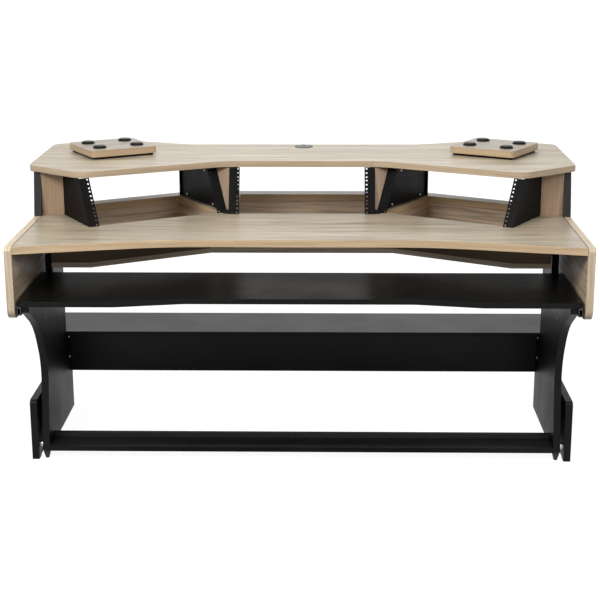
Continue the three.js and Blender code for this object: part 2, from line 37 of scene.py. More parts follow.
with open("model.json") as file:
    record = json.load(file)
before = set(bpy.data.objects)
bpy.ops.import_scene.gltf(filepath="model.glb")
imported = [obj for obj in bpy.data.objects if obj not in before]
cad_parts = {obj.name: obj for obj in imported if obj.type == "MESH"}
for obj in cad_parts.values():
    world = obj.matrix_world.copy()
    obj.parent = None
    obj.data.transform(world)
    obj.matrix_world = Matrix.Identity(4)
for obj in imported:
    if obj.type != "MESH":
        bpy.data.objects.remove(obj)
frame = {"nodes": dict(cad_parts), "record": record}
nodes = frame["nodes"]
slots = {entry["node"]: entry["material_slot"] for entry in frame["record"]["subparts"]}
body_of = {node: body for body, held in frame["record"]["behaviour"]["bodies"].items() for node in held}
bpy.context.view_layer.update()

SIDES = (("right", 1), ("left", -1))
ACROSS = Vector((1, 0, 0))
BACKWARD = Vector((0, 1, 0))
UPWARD = Vector((0, 0, 1))

# A side bay's plan, mirrored for the left one
BAY_YAW = math.radians(30)
BAY_MIDDLE = Vector((497.26 * MM, -114.76 * MM, 0))  # the middle of its front, on the floor
PLATE_FACE = 261 * MM  # a rack plate's inner face, from the bay's middle

SIDE_INNER_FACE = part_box("side_panel_right")[0].x


def add_object(name, data):
    thing = bpy.data.objects.new(name, data)
    bpy.context.scene.collection.objects.link(thing)
    return thing


# ---------------------------------------------------------------- shader nodes

COLOUR = "NodeSocketColor"
NUMBER = "NodeSocketFloat"
VECTOR = "NodeSocketVector"


def feed(tree, socket, value):
    """Links a socket to another one, or sets it to a constant."""
    if isinstance(value, bpy.types.NodeSocket):
        tree.links.new(value, socket)
    elif value is not None:
        socket.default_value = value


def math_node(tree, operation, a, b=None, clamp=False):
    node = tree.nodes.new("ShaderNodeMath")
    node.operation = operation
    node.use_clamp = clamp
    for socket, value in zip(node.inputs, (a, b)):
        feed(tree, socket, value)
    return node.outputs[0]


def mix_colour(tree, share, first, second):
    node = tree.nodes.new("ShaderNodeMix")
    node.data_type = "RGBA"
    for name, value in (("Factor_Float", share), ("A_Color", first), ("B_Color", second)):
        feed(tree, next(s for s in node.inputs if s.identifier == name), value)
    return next(s for s in node.outputs if s.identifier == "Result_Color")


def spread(tree, value, low, high, to_low=0.0, to_high=1.0):
    """A smooth step: the value from low to high becomes to_low to to_high."""
    node = tree.nodes.new("ShaderNodeMapRange")
    node.interpolation_type = "SMOOTHSTEP"
    tree.links.new(value, node.inputs["Value"])
    for label, limit in (("From Min", low), ("From Max", high), ("To Min", to_low), ("To Max", to_high)):
        node.inputs[label].default_value = limit
    return node.outputs["Result"]


def noise(tree, vector, scale, detail, roughness=0.5):
    node = tree.nodes.new("ShaderNodeTexNoise")
    for label, value in (("Vector", vector), ("Scale", scale), ("Detail", detail), ("Roughness", roughness)):
        feed(tree, node.inputs[label], value)
    return node.outputs["Fac"]


def stretched(tree, vector, factors):
    node = tree.nodes.new("ShaderNodeVectorMath")
    node.operation = "MULTIPLY"
    tree.links.new(vector, node.inputs[0])
    node.inputs[1].default_value = factors
    return node.outputs["Vector"]


def seen_directly(tree):
    """1 for what the camera sees, also in a mirror or through glass; 0 for the light that reaches the object."""
    rays = tree.nodes.new("ShaderNodeLightPath")
    glossy = math_node(tree, "MAXIMUM", rays.outputs["Is Camera Ray"], rays.outputs["Is Glossy Ray"])
    return math_node(tree, "MAXIMUM", glossy, rays.outputs["Is Transmission Ray"])


# ---------------------------------------------------------------- camera, light and floor

PHOTO_WIDTH = 600
PHOTO_FOCAL = 1403.7  # in the photograph's pixels
SENSOR_WIDTH = 36  # millimetres
VIEW_DEPTH = 200  # metres
CAMERA_PLACE = Vector((0.0928, -4.9455, 1.8205))
CAMERA_PITCH = math.radians(15.06)
CAMERA_YAW = math.radians(-1.16)
CAMERA_ROLL = math.radians(-0.14)

# Each soft box: its name, place and aim, its width and height in metres, and its watts
SOFT_BOXES = (
    ("soft_box_above", (-0.3, -0.3, 3.4), (0, 0, 0.8), 1.8, 1.2, 17),
    ("soft_box_front_left", (-2.4, -3.8, 4.0), (0, 0, 0.7), 1.8, 1.8, 210),
    ("soft_box_front_right", (2.6, -3.8, 3.8), (0, 0, 0.7), 1.8, 1.8, 96),
    ("soft_box_behind", (0, 2.6, 2.6), (0, 0.2, 0.8), 2.2, 1.0, 18),
)
WHITE = (1, 1, 1, 1)
# The world's light on the object by the Y of its direction: where it starts and stops growing, and from what to what
WORLD_LIGHT = (-0.2, 1.0, 0.4, 0.7)

FLOOR_HALF = 60  # metres
FLOOR_TONE = (0.17, 0.17, 0.17, 1)
FLOOR_ROUGHNESS = 0.9
# The floor's glow by the distance from the object's middle, laid out like WORLD_LIGHT: as the camera sees it, and the
# share of it that the object mirrors, which is dimmed near the object as a painted shadow
FLOOR_GLOW = (1.2, 3.6, 0.94, 1.0)
FLOOR_MIRRORED_PAINTED_SHADOW = (0.69, 0.88, 0.25, 1.0)


def stand_camera():
    level = math.cos(CAMERA_PITCH)
    ahead = Vector((math.sin(CAMERA_YAW) * level, math.cos(CAMERA_YAW) * level, -math.sin(CAMERA_PITCH)))
    side = Vector((math.cos(CAMERA_YAW), -math.sin(CAMERA_YAW), 0))
    top = side.cross(ahead)
    tilted_side = math.cos(CAMERA_ROLL) * side + math.sin(CAMERA_ROLL) * top
    tilted_top = math.cos(CAMERA_ROLL) * top - math.sin(CAMERA_ROLL) * side
    lens = bpy.data.cameras.new("photo_lens")
    lens.sensor_width = SENSOR_WIDTH
    lens.lens = PHOTO_FOCAL / PHOTO_WIDTH * SENSOR_WIDTH
    lens.clip_end = VIEW_DEPTH
    camera = add_object("photo_camera", lens)
    turn = Matrix((tilted_side, tilted_top, -ahead)).transposed().to_4x4()
    camera.matrix_world = Matrix.Translation(CAMERA_PLACE) @ turn
    bpy.context.scene.camera = camera


def hang_soft_boxes():
    for name, place, aim, width, height, watts in SOFT_BOXES:
        lamp = bpy.data.lights.new(name, "AREA")
        lamp.shape = "RECTANGLE"
        lamp.size = width
        lamp.size_y = height
        lamp.energy = watts
        light = add_object(name, lamp)
        light.location = place
        light.rotation_euler = (Vector(aim) - Vector(place)).to_track_quat("-Z", "Y").to_euler()


def paint_world():
    """White where it is seen; what reaches the object is strongest from behind, which lights the lower parts."""
    world = bpy.data.worlds.new("white_studio")
    bpy.context.scene.world = world
    world.use_nodes = True
    tree = world.node_tree
    tree.nodes.clear()
    out = tree.nodes.new("ShaderNodeOutputWorld")
    toward = tree.nodes.new("ShaderNodeTexCoord")
    parts = tree.nodes.new("ShaderNodeSeparateXYZ")
    tree.links.new(toward.outputs["Generated"], parts.inputs[0])
    mix = tree.nodes.new("ShaderNodeMixShader")
    tree.links.new(seen_directly(tree), mix.inputs["Fac"])
    for number, strength in ((1, spread(tree, parts.outputs["Y"], *WORLD_LIGHT)), (2, 1.0)):
        background = tree.nodes.new("ShaderNodeBackground")
        background.inputs["Color"].default_value = WHITE
        feed(tree, background.inputs["Strength"], strength)
        tree.links.new(background.outputs[0], mix.inputs[number])
    tree.links.new(mix.outputs[0], out.inputs["Surface"])


def lay_floor():
    """A white floor that shows the object's soft shadow near it, with a painted shadow where the object mirrors it, and
    goes over into the background further off.
    """
    mesh = bpy.data.meshes.new("studio_floor")
    corners = [(x * FLOOR_HALF, y * FLOOR_HALF, 0) for x, y in ((-1, -1), (1, -1), (1, 1), (-1, 1))]
    mesh.from_pydata(corners, [], [(0, 1, 2, 3)])
    floor = add_object("studio_floor", mesh)
    paint = bpy.data.materials.new("white_floor")
    paint.use_nodes = True
    tree = paint.node_tree
    matt = tree.nodes["Principled BSDF"]
    matt.inputs["Base Color"].default_value = FLOOR_TONE
    matt.inputs["Roughness"].default_value = FLOOR_ROUGHNESS
    matt.inputs["Specular IOR Level"].default_value = 0.0
    place = tree.nodes.new("ShaderNodeNewGeometry")
    reach = tree.nodes.new("ShaderNodeVectorMath")
    reach.operation = "LENGTH"
    tree.links.new(place.outputs["Position"], reach.inputs[0])
    strength = spread(tree, reach.outputs["Value"], *FLOOR_GLOW)
    # Painted shadow: near the object the floor's glow is dimmed for what its legs mirror, standing in for the object's
    # own shadow.
    rays = tree.nodes.new("ShaderNodeLightPath")
    mirrored = spread(tree, reach.outputs["Value"], *FLOOR_MIRRORED_PAINTED_SHADOW)
    shaded = math_node(tree, "MAXIMUM", mirrored, rays.outputs["Is Camera Ray"])
    strength = math_node(tree, "MULTIPLY", strength, shaded)
    glow = tree.nodes.new("ShaderNodeEmission")
    glow.inputs["Color"].default_value = WHITE
    tree.links.new(math_node(tree, "MULTIPLY", strength, seen_directly(tree)), glow.inputs["Strength"])
    both = tree.nodes.new("ShaderNodeAddShader")
    tree.links.new(matt.outputs[0], both.inputs[0])
    tree.links.new(glow.outputs[0], both.inputs[1])
    tree.links.new(both.outputs[0], tree.nodes["Material Output"].inputs["Surface"])
    mesh.materials.append(paint)


# ---------------------------------------------------------------- shared effects

GRAIN = "grain_run"  # along the grain, across it, and a number of the board's own, on each corner of a face

# The grain wanders: a slow noise pushes what lies across it to and fro by up to half of this, in metres
SWAY_STRETCH = (1.6, 7.0, 1.0)
SWAY_WIDTH = 0.045
# Each noise of the wood print: its stretch along the grain, across it and by the board's own number, its detail and
# roughness, and its smooth step from the first value to the second, with the share at each
WOOD_NOISES = {
    "bands": ((0.9, 22.0, 3.1), 3.0, 0.55, (0.36, 0.66, 0.0, 1.0)),
    "streaks": ((3.4, 105.0, 5.3), 4.0, 0.62, (0.42, 0.67, 0.0, 1.0)),
    "fibres": ((14.0, 560.0, 7.7), 2.0, 0.6, (0.35, 0.75, 0.0, 0.24)),
    "pores": ((42.0, 900.0, 2.9), 1.0, 0.5, (0.62, 0.74, 0.0, 0.34)),
    "knots": ((2.4, 6.5, 1.9), 2.0, 0.5, (0.60, 0.80, 0.0, 0.55)),
}
STREAK_DEPTH = 0.68
WOOD_GLOSS = (0.3, 0.7, 0.32, 0.40)
PORE_DULLING = 0.25
PORE_DEPTH = 2.0


def effect(name, *sockets_in):
    """A node group with its sockets, each (name, type) or (name, type, value), that gives a colour, a roughness and a
    height."""
    group = bpy.data.node_groups.new(name, "ShaderNodeTree")
    for label, kind, *value in sockets_in:
        socket = group.interface.new_socket(label, in_out="INPUT", socket_type=kind)
        if value:
            socket.default_value = value[0]
    for label, kind in (("Color", COLOUR), ("Roughness", NUMBER), ("Height", NUMBER)):
        group.interface.new_socket(label, in_out="OUTPUT", socket_type=kind)
    return group, group.nodes.new("NodeGroupInput").outputs, group.nodes.new("NodeGroupOutput").inputs


def wood_print_effect():
    """The printed oak pattern: soft bands, a wavy figure, fine fibres and short dark pores."""
    group, given, result = effect(
        "wood_print",
        ("Run", VECTOR),
        ("Pale", COLOUR, (0.6, 0.5, 0.37, 1)),
        ("Middle", COLOUR, (0.45, 0.36, 0.26, 1)),
        ("Dark", COLOUR, (0.2, 0.15, 0.1, 1)),
        ("Figure", NUMBER, 1.0),
    )

    def times(a, b):
        return math_node(group, "MULTIPLY", a, b)

    sway = noise(group, stretched(group, given["Run"], SWAY_STRETCH), 1.0, 2.0)
    sway = times(math_node(group, "SUBTRACT", sway, 0.5), SWAY_WIDTH)
    parts = group.nodes.new("ShaderNodeSeparateXYZ")
    group.links.new(given["Run"], parts.inputs[0])
    swayed = group.nodes.new("ShaderNodeCombineXYZ")
    group.links.new(parts.outputs["X"], swayed.inputs["X"])
    group.links.new(math_node(group, "ADD", parts.outputs["Y"], sway), swayed.inputs["Y"])
    group.links.new(parts.outputs["Z"], swayed.inputs["Z"])
    raw = {}
    share = {}
    for name, (stretch, detail, roughness, step) in WOOD_NOISES.items():
        raw[name] = noise(group, stretched(group, swayed.outputs[0], stretch), 1.0, detail, roughness)
        share[name] = spread(group, raw[name], *step)
    streak = times(share["streaks"], given["Figure"])
    knot = times(share["knots"], given["Figure"])
    pore = times(share["pores"], streak)
    colour = mix_colour(group, share["bands"], given["Pale"], given["Middle"])
    for darkening in (times(streak, STREAK_DEPTH), times(knot, streak), share["fibres"], pore):
        colour = mix_colour(group, darkening, colour, given["Dark"])
    group.links.new(colour, result["Color"])
    gloss = spread(group, raw["fibres"], *WOOD_GLOSS)
    group.links.new(math_node(group, "ADD", gloss, times(pore, PORE_DULLING)), result["Roughness"])
    group.links.new(math_node(group, "SUBTRACT", raw["fibres"], times(pore, PORE_DEPTH)), result["Height"])
    return group


def fine_skin_effect():
    """The small pebbles of a melamine skin, a powder coat or moulded plastic, with slow cloudy handling marks."""
    group, given, result = effect(
        "fine_skin",
        ("Place", VECTOR),
        ("Base", COLOUR, (0.02, 0.02, 0.02, 1)),
        ("Worn", COLOUR, (0.05, 0.05, 0.05, 1)),
        ("Pebble Scale", NUMBER, 900.0),
        ("Gloss Low", NUMBER, 0.4),
        ("Gloss High", NUMBER, 0.5),
    )
    clouds = noise(group, given["Place"], 5.0, 4.0, 0.6)
    specks = noise(group, given["Place"], 260.0, 2.0)
    cloudy = spread(group, clouds, 0.35, 0.75, 0.0, 0.35)
    dusty = math_node(group, "ADD", cloudy, spread(group, specks, 0.66, 0.8, 0.0, 0.25), clamp=True)
    group.links.new(mix_colour(group, dusty, given["Base"], given["Worn"]), result["Color"])
    span = math_node(group, "SUBTRACT", given["Gloss High"], given["Gloss Low"])
    lift = math_node(group, "MULTIPLY", span, spread(group, clouds, 0.3, 0.7))
    group.links.new(math_node(group, "ADD", given["Gloss Low"], lift), result["Roughness"])
    group.links.new(noise(group, given["Place"], given["Pebble Scale"], 2.0), result["Height"])
    return group


def drawn_metal_effect():
    """Rolled or drawn metal: fine lines along its length and a slow change of tone."""
    group, given, result = effect(
        "drawn_metal",
        ("Place", VECTOR),
        ("Light", COLOUR, (0.6, 0.6, 0.6, 1)),
        ("Deep", COLOUR, (0.4, 0.4, 0.4, 1)),
    )
    lines = noise(group, stretched(group, given["Place"], (900.0, 12.0, 900.0)), 1.0, 2.0)
    clouds = noise(group, given["Place"], 30.0, 3.0)
    tone = math_node(group, "ADD", *(spread(group, value, 0.3, 0.7, 0.0, 0.5) for value in (lines, clouds)))
    group.links.new(mix_colour(group, tone, given["Light"], given["Deep"]), result["Color"])
    group.links.new(spread(group, lines, 0.3, 0.7, 0.24, 0.42), result["Roughness"])
    group.links.new(lines, result["Height"])
    return group


# ---------------------------------------------------------------- finishes

# Each wood print: its pale, middle and dark tones, the strength of its figure, and its lacquer's IOR
WOODS = {
    "oak_face": ((0.50, 0.43, 0.317), (0.378, 0.313, 0.222), (0.12, 0.09, 0.062), 1.0, 1.48),
    "oak_inner_face": ((0.62, 0.48, 0.34), (0.51, 0.39, 0.27), (0.19, 0.14, 0.095), 0.9, 1.12),
    "oak_wall_face": ((0.66, 0.52, 0.38), (0.545, 0.425, 0.305), (0.21, 0.16, 0.115), 0.9, 1.48),
    "oak_pad_face": ((0.345, 0.30, 0.237), (0.285, 0.243, 0.187), (0.11, 0.085, 0.06), 0.9, 1.48),
    "oak_band": ((0.63, 0.465, 0.285), (0.52, 0.375, 0.225), (0.26, 0.17, 0.10), 0.5, 1.48),
    "oak_shelf_band": ((0.475, 0.365, 0.245), (0.395, 0.297, 0.194), (0.2, 0.138, 0.088), 0.5, 1.48),
    "oak_side_band": ((0.65, 0.535, 0.38), (0.53, 0.43, 0.30), (0.25, 0.185, 0.12), 0.6, 1.4),
    "oak_inner_band": ((0.56, 0.44, 0.30), (0.46, 0.35, 0.23), (0.2, 0.14, 0.09), 0.6, 1.35),
    "oak_pad_band": ((0.48, 0.35, 0.215), (0.395, 0.285, 0.175), (0.2, 0.137, 0.082), 0.5, 1.48),
    "oak_filler": ((0.42, 0.29, 0.19), (0.34, 0.23, 0.15), (0.17, 0.11, 0.07), 0.5, 1.4),
    # Painted light: the rack floor's front band is far paler than the other bands, for the light on that edge under the
    # desktop
    "oak_floor_band": ((0.8, 0.67, 0.5), (0.68, 0.56, 0.41), (0.34, 0.26, 0.18), 0.6, 1.4),
    # Painted shade: a darker copy of the oak for the box's front board, for the shade under the desktop
    "oak_front_board_painted_shade": ((0.23, 0.165, 0.11), (0.19, 0.132, 0.088), (0.1, 0.068, 0.046), 0.5, 1.2),
    "oak_divider": ((0.30, 0.21, 0.14), (0.25, 0.17, 0.11), (0.13, 0.085, 0.055), 0.5, 1.4),
}
WOOD_BUMP = 0.25
WOOD_RELIEF = 0.05 * MM

# Each skin: its base and worn tones, the scale of its pebbles, its lowest and highest roughness, the strength of its
# bump, its relief in millimetres, and its IOR
SKINS = {
    # Painted shade: the dark tone of the groove where a board meets a side panel's inner face
    "seam_dark": ((0.05, 0.035, 0.022), (0.09, 0.065, 0.04), 600.0, 0.7, 0.8, 0.3, 0.03, 1.5),
    "black_face": ((0.005, 0.0047, 0.0043), (0.009, 0.0085, 0.008), 1100.0, 0.3, 0.38, 0.3, 0.03, 1.24),
    # Painted light: a lighter copy of the black face for the stretcher board's top, where light falls on it
    "stretcher_face": ((0.007, 0.0065, 0.006), (0.012, 0.011, 0.010), 1100.0, 0.34, 0.42, 0.3, 0.03, 1.26),
    "dull_black_face": ((0.0025, 0.0024, 0.0023), (0.005, 0.0048, 0.0046), 1100.0, 0.4, 0.48, 0.3, 0.03, 1.17),
    "black_band": ((0.004, 0.0038, 0.0036), (0.009, 0.0085, 0.008), 700.0, 0.38, 0.48, 0.3, 0.03, 1.22),
    # Painted light: a lighter copy of the black band for the stretcher rail's front and the uprights' edges, where
    # light falls on them
    "grey_black_band": ((0.013, 0.0125, 0.013), (0.019, 0.0185, 0.019), 700.0, 0.45, 0.55, 0.3, 0.03, 1.3),
    "powder_coat": ((0.004, 0.0037, 0.0038), (0.008, 0.0075, 0.0077), 1500.0, 0.4, 0.48, 0.5, 0.05, 1.13),
    "moulded_black": ((0.010, 0.010, 0.0105), (0.022, 0.022, 0.022), 1200.0, 0.3, 0.4, 0.3, 0.03, 1.4),
    "moulded_grey": ((0.10, 0.104, 0.092), (0.14, 0.144, 0.13), 1200.0, 0.34, 0.42, 0.3, 0.03, 1.3),
    "black_rubber": ((0.005, 0.0045, 0.004), (0.012, 0.011, 0.01), 900.0, 0.4, 0.5, 0.4, 0.05, 1.2),
    # Painted reflection: the disc's dish is real, its lighter brownish tone stands in for what it mirrors
    "rubber_dish_painted_reflection": ((0.08, 0.066, 0.054), (0.115, 0.098, 0.08), 900.0, 0.5, 0.6, 0.4, 0.05, 1.3),
}

# Each metal: its light and deep tones
METALS = {
    # Painted shade: the slides' zinc is far darker than the bright zinc, for the shade under the tray
    "slide_zinc_painted_shade": ((0.11, 0.107, 0.104), (0.06, 0.058, 0.056)),
    "bright_zinc": ((0.72, 0.73, 0.74), (0.5, 0.51, 0.53)),
}
METAL_BUMP = 0.2
METAL_RELIEF = 0.01 * MM


def finish_of(name, group, values, bump, relief, constant, setting):
    """A material whose colour, roughness and relief come from one effect, with one constant on the shader's socket."""
    material = bpy.data.materials.new(name)
    material.use_nodes = True
    tree = material.node_tree
    shader = tree.nodes["Principled BSDF"]
    made = tree.nodes.new("ShaderNodeGroup")
    made.node_tree = group
    if "Run" in made.inputs:
        source = tree.nodes.new("ShaderNodeAttribute")
        source.attribute_name = GRAIN
        tree.links.new(source.outputs["Vector"], made.inputs["Run"])
    else:
        source = tree.nodes.new("ShaderNodeTexCoord")
        tree.links.new(source.outputs["Object"], made.inputs["Place"])
    for label, value in values.items():
        made.inputs[label].default_value = (*value, 1) if isinstance(value, tuple) else value
    tree.links.new(made.outputs["Color"], shader.inputs["Base Color"])
    tree.links.new(made.outputs["Roughness"], shader.inputs["Roughness"])
    dent = tree.nodes.new("ShaderNodeBump")
    dent.inputs["Strength"].default_value = bump
    dent.inputs["Distance"].default_value = relief
    tree.links.new(made.outputs["Height"], dent.inputs["Height"])
    tree.links.new(dent.outputs["Normal"], shader.inputs["Normal"])
    shader.inputs[constant].default_value = setting
    return material


def mix_finishes():
    made = {}
    wood_print = wood_print_effect()
    for name, (pale, middle, dark, figure, ior) in WOODS.items():
        values = {"Pale": pale, "Middle": middle, "Dark": dark, "Figure": figure}
        made[name] = finish_of(name, wood_print, values, WOOD_BUMP, WOOD_RELIEF, "IOR", ior)
    fine_skin = fine_skin_effect()
    for name, (base, worn, pebble, low, high, bump, relief, ior) in SKINS.items():
        values = {"Base": base, "Worn": worn, "Pebble Scale": pebble, "Gloss Low": low, "Gloss High": high}
        made[name] = finish_of(name, fine_skin, values, bump, relief * MM, "IOR", ior)
    drawn_metal = drawn_metal_effect()
    for name, (light, deep) in METALS.items():
        values = {"Light": light, "Deep": deep}
        made[name] = finish_of(name, drawn_metal, values, METAL_BUMP, METAL_RELIEF, "Metallic", 1.0)
    return made


finishes = mix_finishes()

# ---------------------------------------------------------------- shapes and pieces

SMOOTH_BELOW = math.radians(36)
BOARD_EDGE = math.radians(30)
MOULDED_EDGE = math.radians(40)
GLIDE_EDGE = math.radians(35)


def sharp_edges(shape, angle):
    return [e for e in shape.edges if len(e.link_faces) == 2 and e.calc_face_angle(0) > angle]


def cleaned(node):
    """A copy of a node's mesh with its flat faces whole again."""
    shape = bmesh.new()
    shape.from_mesh(nodes[node].data)
    shape.transform(nodes[node].matrix_world)
    bmesh.ops.remove_doubles(shape, verts=shape.verts, dist=0.01 * MM)
    bmesh.ops.dissolve_limit(
        shape, angle_limit=math.radians(0.4), verts=shape.verts, edges=shape.edges, use_dissolve_boundaries=False
    )
    bmesh.ops.recalc_face_normals(shape, faces=shape.faces)
    return shape


def soften(shape, edges, width, steps):
    if edges:
        bmesh.ops.bevel(
            shape, geom=edges, offset=width, offset_type="OFFSET", segments=steps, profile=0.5,
            affect="EDGES", clamp_overlap=True,
        )


def prism(low, high):
    """A closed solid between two rings of points, one over the other."""
    shape = bmesh.new()
    under, over = ([shape.verts.new(point) for point in ring] for ring in (low, high))
    shape.faces.new(under)
    shape.faces.new(over)
    for k in range(len(under)):
        after = (k + 1) % len(under)
        shape.faces.new((under[k], under[after], over[after], over[k]))
    bmesh.ops.recalc_face_normals(shape, faces=shape.faces)
    return shape


def turned_shape(profile, steps):
    """A revolved closed shape from (radius, height) in metres, on the Z axis."""
    shape = bmesh.new()
    rings = []
    for radius, height in profile:
        turns = [k * math.tau / steps for k in range(steps)] if radius else [0.0]
        rings.append([shape.verts.new((radius * math.cos(t), radius * math.sin(t), height)) for t in turns])
    for low, high in zip(rings, rings[1:]):
        for k in range(steps):
            after = (k + 1) % steps
            if len(low) == 1:
                shape.faces.new((low[0], high[after], high[k]))
            elif len(high) == 1:
                shape.faces.new((low[k], low[after], high[0]))
            else:
                shape.faces.new((low[k], low[after], high[after], high[k]))
    bmesh.ops.recalc_face_normals(shape, faces=shape.faces)
    return shape


def stand_on(shape, spot, normal):
    """Moves a shape made on the Z axis to a spot on a surface with the given normal."""
    shape.transform(Matrix.Translation(spot) @ Vector(normal).to_track_quat("Z", "Y").to_matrix().to_4x4())


def piece_from(shape, name, looks, body, slot, *replaced):
    mesh = bpy.data.meshes.new(name)
    for face in shape.faces:
        face.smooth = True
    for edge in shape.edges:
        edge.smooth = len(edge.link_faces) == 2 and edge.calc_face_angle(0) < SMOOTH_BELOW
    shape.to_mesh(mesh)
    shape.free()
    for look in looks:
        mesh.materials.append(finishes[look])
    piece = add_object(name, mesh)
    weighting = piece.modifiers.new("flat_faces_stay_flat", "WEIGHTED_NORMAL")
    weighting.keep_sharp = True
    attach(piece, body)
    if replaced:
        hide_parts(*replaced)


def dress(shape, node, ending, *looks):
    """The piece that stands in for a node."""
    piece_from(shape, f"{node}_{ending}", looks, body_of[node], slots[node], node)


# ---------------------------------------------------------------- boards

GRAIN_STEP = 1.7  # between the boards' own numbers, so that no two boards have the same figure
BAND_SHIFT = 0.37  # from a board's own number to its band's
BROAD = 0.8  # how squarely a face looks along the board's thickness, at least, to be a broad one
SEAM_REACH = 1.8 * MM
FRONT_BOARD_NUMBER = 60.0


def run_the_grain(shape, thickness, grain, own):
    """Writes where each corner lies along and across the grain; on the edges the band runs round the board."""
    layer = shape.loops.layers.float_vector.new(GRAIN)
    across = thickness.cross(grain)
    for face in shape.faces:
        broad = abs(face.normal.dot(thickness)) > BROAD
        face.material_index = 0 if broad else 1
        if broad:
            for loop in face.loops:
                at = loop.vert.co
                loop[layer] = Vector((at.dot(grain), at.dot(across), own))
    # From one face of the band to the next, the shift keeps the run along it unbroken.
    started = {}
    for first in shape.faces:
        if first.material_index == 0 or first in started:
            continue
        started[first] = 0.0
        waiting = [first]
        while waiting:
            face = waiting.pop()
            along = thickness.cross(face.normal).normalized()
            shift = started[face]
            for loop in face.loops:
                at = loop.vert.co
                loop[layer] = Vector((at.dot(along) + shift, at.dot(thickness), own + BAND_SHIFT))
                for other in loop.edge.link_faces:
                    if other.material_index == 0 or other in started:
                        continue
                    turned = thickness.cross(other.normal).normalized()
                    middle = (loop.edge.verts[0].co + loop.edge.verts[1].co) / 2
                    started[other] = middle.dot(along) + shift - middle.dot(turned)
                    waiting.append(other)


def paint_seam_shade(shape):
    """Paints shade on the rounded edges that meet at a side panel's inner face, where the groove between the boards
    lies in shadow.
    """
    for face in shape.faces:
        near = abs(abs(face.calc_center_median().x) - SIDE_INNER_FACE) < SEAM_REACH
        if near and 0.15 < abs(face.normal.x) < 0.99 and face.normal.z > 0.05:
            face.material_index = 2


def cut_boards():
    oak = ("oak_face", "oak_band")
    shelf_oak = ("oak_face", "oak_shelf_band")
    # The rack floor's band is painted light.
    floor_oak = ("oak_wall_face", "oak_floor_band")
    wall_oak = ("oak_wall_face", "oak_inner_band")
    side_oak = ("oak_inner_face", "oak_side_band")
    pad_oak = ("oak_pad_face", "oak_pad_band")
    black = ("black_face", "black_band")
    dull_black = ("dull_black_face", "black_band")
    # Each board: its node, the ways of its thickness and of its grain, its face and band, and its edges' rounding in mm
    boards = [
        ("desktop", UPWARD, ACROSS, oak, 1.2),
        ("top_shelf", UPWARD, ACROSS, shelf_oak, 1.2),
        ("rack_floor", UPWARD, ACROSS, floor_oak, 0.8),
        ("wall_centre_rear", BACKWARD, ACROSS, wall_oak, 0.8),
        ("back_shelf", UPWARD, ACROSS, black, 0.8),
        ("modesty_panel", BACKWARD, ACROSS, black, 0.8),
        # The stretcher board's top is painted light.
        ("stretcher_board", UPWARD, ACROSS, ("stretcher_face", "black_band"), 0.8),
        # The rail's front is painted light.
        ("stretcher_rail", BACKWARD, ACROSS, ("grey_black_band", "black_band"), 0.8),
        ("keyboard_tray", UPWARD, ACROSS, black, 1.0),
    ]
    for side, hand in SIDES:
        bay_across = Vector((math.cos(BAY_YAW), -hand * math.sin(BAY_YAW), 0))
        bay_back = Vector((hand * math.sin(BAY_YAW), math.cos(BAY_YAW), 0))
        boards += [
            (f"side_panel_{side}", ACROSS, BACKWARD, side_oak, 1.6),
            # The upright's lighter band is painted light.
            (f"upright_{side}", ACROSS, UPWARD, ("black_face", "grey_black_band"), 0.8),
            (f"filler_{side}", BACKWARD, UPWARD, ("oak_filler", "oak_filler"), 0.6),
            (f"divider_{side}", ACROSS, UPWARD, ("oak_divider", "oak_divider"), 0.5),
            (f"wall_{side}_inner", bay_across, bay_back, wall_oak, 0.6),
            (f"wall_{side}_outer", bay_across, bay_back, wall_oak, 0.6),
            (f"wall_{side}_rear", bay_back, bay_across, wall_oak, 0.6),
            (f"leg_{side}", ACROSS, UPWARD, dull_black, 1.0),
            (f"outer_foot_{side}", ACROSS, BACKWARD, dull_black, 1.0),
            (f"pad_board_{side}", UPWARD, bay_across, pad_oak, 1.5),
        ]
    own = 0.0
    for node, thickness, grain, looks, rounding in boards:
        own += GRAIN_STEP
        shape = cleaned(node)
        soften(shape, sharp_edges(shape, BOARD_EDGE), rounding * MM, 3)
        run_the_grain(shape, thickness, grain, own)
        # The third finish is painted shade, for the groove at a side panel's inner face.
        paint_seam_shade(shape)
        dress(shape, node, "board", *looks, "seam_dark")


# The thin board that closes a side bay's box towards the user, just behind the floor board's front edge: its plan in
# millimetres, and its gap to the boards above and below
FRONT_BOARD_PLAN = (
    (328.0, -10.9), (725.4, -240.3), (861.5, -240.3), (861.5, -234.3), (738.5, -234.3), (735.6, -238.7), (331.2, -5.2),
)
FRONT_BOARD_GAP = 0.2 * MM


def fit_front_boards():
    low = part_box("rack_floor")[1].z + FRONT_BOARD_GAP
    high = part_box("desktop")[0].z - FRONT_BOARD_GAP
    for side, hand in SIDES:
        plan = [(hand * x * MM, y * MM) for x, y in FRONT_BOARD_PLAN]
        shape = prism(*([(x, y, height) for x, y in plan] for height in (low, high)))
        run_the_grain(shape, UPWARD, ACROSS, FRONT_BOARD_NUMBER + hand)
        # The front board's darker oak is painted shade.
        piece_from(shape, "box_front_board_" + side, ("oak_front_board_painted_shade", "oak_front_board_painted_shade"), "frame", "wood")


# ---------------------------------------------------------------- metal, plastic and rubber

BEND_FACE = 2000 * MM * MM  # a bend joins two faces that are both larger than this
BEND_LENGTH = 100 * MM
RIM_LENGTH = 8 * MM

DISC_CORNERS = ("front_outer", "front_inner", "rear_outer", "rear_inner")
DISC_STEPS = 48
DISC_FOOT = 1.5 * MM
# A disc's profile above its foot, in shares of its radius and height, up to the rim of the dish in its top
DISC_PROFILE = ((1.0, 0.34), (0.97, 0.5), (0.83, 0.88), (0.76, 0.98), (0.7, 1.0), (0.6, 1.0))
DISH_FLOOR = 0.56
